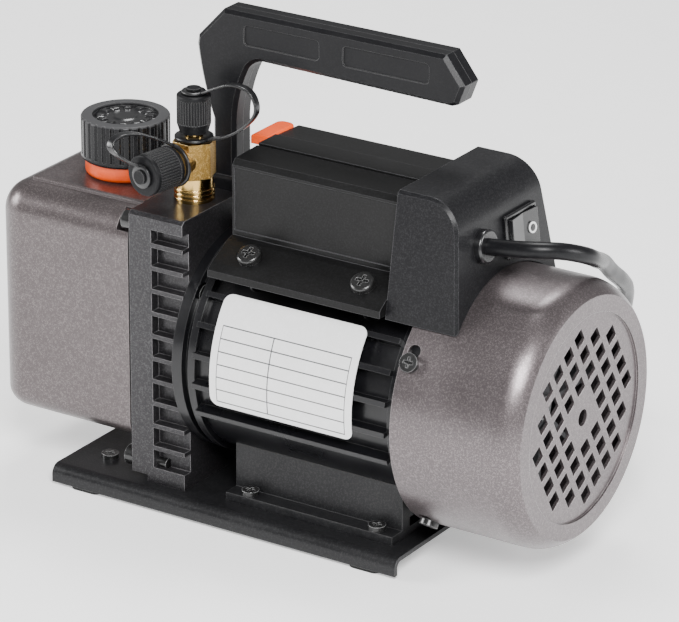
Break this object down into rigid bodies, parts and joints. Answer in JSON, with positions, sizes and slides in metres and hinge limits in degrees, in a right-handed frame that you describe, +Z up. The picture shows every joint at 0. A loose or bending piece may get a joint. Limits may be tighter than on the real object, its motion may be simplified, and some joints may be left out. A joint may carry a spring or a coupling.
{
  "type": "rotary vane vacuum pump",
  "caption": "Portable rotary vane vacuum pump: oil tank and ribbed block on a base plate, finned motor with fan cover, carry handle, capped intake ports, rocker switch and mains lead.",
  "frame": {"origin": "middle of the footprint of the pump without its mains lead, on the surface that the rubber feet stand on", "axes": "+X from the oil tank to the fan cover, +Z up, -Y the side with the rating label"},
  "size_m": [0.2794, 0.2209, 0.2139],
  "materials": {
    "steel_base": "satin black powder coat",
    "rubber": "matt",
    "zinc_screw": "zinc plated",
    "black_screw": "black oxide",
    "block_paint": "dark grey textured paint with speckles",
    "tank_paint": "mauve-bronze hammertone paint",
    "glass": "clear",
    "ring_metal": "turned",
    "brass": "bright and sand-blasted",
    "orange_rubber": "satin",
    "black_plastic": "glossy",
    "strap_plastic": "satin",
    "handle_plastic": "fine texture",
    "box_plastic": "textured",
    "housing_plastic": "speckled texture",
    "motor_paint": "satin black",
    "cast_alloy": "machined casting",
    "machined_steel": "ground",
    "spring_steel": "blued",
    "vane_graphite": "carbon composite",
    "copper": "enamelled wire",
    "lamination": "stacked sheet",
    "fan_plastic": "grey nylon",
    "cover_paint": "light silver hammertone",
    "capacitor_case": "smooth",
    "rocker_plastic": "glossy",
    "cord_rubber": "satin sheath",
    "plug_plastic": "moulded",
    "blade_brass": "plated",
    "label_paper": "printed film"
  },
  "bodies": {
    "pump": {"base_plate": "steel_base", "rubber_feet": "rubber", "base_screws": "zinc_screw", "pump_block": "block_paint", "block_bolts": "black_screw", "shaft_seal": "rubber", "oil_tank": "tank_paint", "tank_gasket": "rubber", "tank_bolts": "black_screw", "sight_glass": "glass", "sight_glass_ring": "ring_metal", "pump_cylinder": "cast_alloy", "pump_end_plate": "cast_alloy", "cylinder_bolts": "zinc_screw", "flap_stop": "spring_steel", "motor_front_bell": "motor_paint", "motor_housing": "motor_paint", "motor_foot": "steel_base", "motor_rear_bell": "motor_paint", "bell_screws": "zinc_screw", "bearing_outer_rings": "machined_steel", "stator_core": "lamination", "stator_winding": "copper", "fan_cover": "cover_paint", "fan_cover_screws": "black_screw", "terminal_box": "box_plastic", "box_screws": "black_screw", "start_capacitor": "capacitor_case", "switch_housing": "housing_plastic", "switch_bezel": "rocker_plastic", "cord_gland": "black_plastic", "power_cord": "cord_rubber", "cord_coil": "cord_rubber", "plug_body": "plug_plastic", "plug_blades": "blade_brass", "intake_fitting": "brass", "small_cap_tether": "strap_plastic", "large_cap_tether": "strap_plastic", "handle_front_half": "handle_plastic", "handle_rear_half": "handle_plastic", "handle_screws": "zinc_screw", "rating_label": "label_paper", "orange_tab": "orange_rubber"},
    "rotor": {"motor_shaft": "machined_steel", "motor_rotor": "lamination", "pump_rotor": "machined_steel", "cooling_fan": "fan_plastic", "bearing_inner_rings": "machined_steel", "vane_springs": "spring_steel"},
    "ball_set": {"bearing_balls": "machined_steel"},
    "vane_left": {"vane_a": "vane_graphite"},
    "vane_right": {"vane_b": "vane_graphite"},
    "rocker": {"rocker_button": "rocker_plastic"},
    "cap_ring": {"cap_seal_ring": "orange_rubber"},
    "fill_cap": {"oil_fill_cap": "black_plastic"},
    "small_cap": {"small_port_cap": "black_plastic"},
    "large_cap": {"large_port_cap": "black_plastic"},
    "drain_washer": {"drain_seal": "rubber"},
    "drain_screw": {"drain_plug": "brass"},
    "flap": {"exhaust_flap": "spring_steel"}
  },
  "joints": [
    {"name": "shaft_spin", "type": "hinge", "parent": "pump", "child": "rotor", "pos_m": [0, 0, 0.07005], "axis": [1, 0, 0], "continuous": true},
    {"name": "cage_spin", "type": "hinge", "parent": "pump", "child": "ball_set", "pos_m": [0, 0, 0.07005], "axis": [1, 0, 0], "continuous": true},
    {"name": "vane_left_slide", "type": "slide", "parent": "rotor", "child": "vane_left", "axis": [0, -1, 0], "range_m": [0, 0.002], "stiffness_N_per_m": 200, "springref_m": -0.002, "deforming": ["vane_springs"]},
    {"name": "vane_right_slide", "type": "slide", "parent": "rotor", "child": "vane_right", "axis": [0, 1, 0], "range_m": [0, 0.002], "stiffness_N_per_m": 200, "springref_m": -0.002, "deforming": ["vane_springs"]},
    {"name": "flap_lift", "type": "hinge", "parent": "pump", "child": "flap", "pos_m": [-0.09352, 0.011, 0.06705], "axis": [0, -1, 0], "range_deg": [0, 1.8], "stiffness_Nm_per_rad": 0.05},
    {"name": "switch_rock", "type": "hinge", "parent": "pump", "child": "rocker", "pos_m": [0.09968, 0.0128, 0.14072], "axis": [-0.1184, 0, 0.993], "range_deg": [0, 20]},
    {"name": "oil_cap_lift", "type": "slide", "parent": "pump", "child": "cap_ring", "axis": [0, 0, 1], "range_m": [0, 0.012]},
    {"name": "oil_cap_turn", "type": "hinge", "parent": "cap_ring", "child": "fill_cap", "pos_m": [-0.09012, -0.002, 0.1398], "axis": [0, 0, 1], "range_deg": [0, 1440]},
    {"name": "small_cap_lift", "type": "slide", "parent": "pump", "child": "small_cap", "axis": [0, 0, 1], "range_m": [0, 0.016], "deforming": ["small_cap_tether"]},
    {"name": "large_cap_pull", "type": "slide", "parent": "pump", "child": "large_cap", "axis": [-0.1564, -0.9877, 0], "range_m": [0, 0.014], "deforming": ["large_cap_tether"]},
    {"name": "drain_out", "type": "slide", "parent": "pump", "child": "drain_washer", "axis": [-1, 0, 0], "range_m": [0, 0.012]},
    {"name": "drain_turn", "type": "hinge", "parent": "drain_washer", "child": "drain_screw", "pos_m": [-0.13373, 0, 0.041], "axis": [-1, 0, 0], "range_deg": [0, 2880]}
  ],
  "couplings": [
    {"joint": "cage_spin", "follows": "shaft_spin", "ratio": 0.39318},
    {"joint": "oil_cap_turn", "follows": "oil_cap_lift", "rad_per_m": 2094.4},
    {"joint": "drain_turn", "follows": "drain_out", "rad_per_m": 4188.8}
  ]
}
